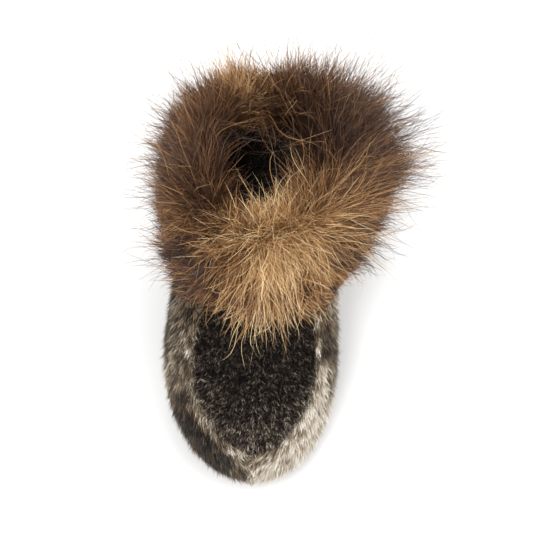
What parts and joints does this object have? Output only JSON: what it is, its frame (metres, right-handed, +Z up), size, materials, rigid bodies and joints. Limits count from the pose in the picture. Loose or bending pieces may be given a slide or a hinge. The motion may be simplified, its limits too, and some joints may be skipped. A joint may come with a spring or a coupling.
{
  "type": "slipper",
  "caption": "Left ankle slipper of short-haired skins: a round plug over the toe, a soft suede sole and a deep fur cuff folded over the collar.",
  "frame": {"origin": "on the floor, in the middle of the heel's flat spot", "axes": "-Y towards the toe, +X towards the little toe's side, +Z up out of the collar"},
  "size_m": [0.1821, 0.26, 0.1301],
  "materials": {
    "sole_suede": "matte napped suede",
    "insole_fleece": "dark deep-pile fleece",
    "short_haired_skin": "short sleek hair, near-black brown with cream patches",
    "deep_fur": "long soft fur, golden tan at the front and dark brown at the back"
  },
  "bodies": {
    "root": {"outsole": "sole_suede", "insole": "insole_fleece", "upper": "short_haired_skin", "fur_cuff": "deep_fur"}
  },
  "joints": []
}
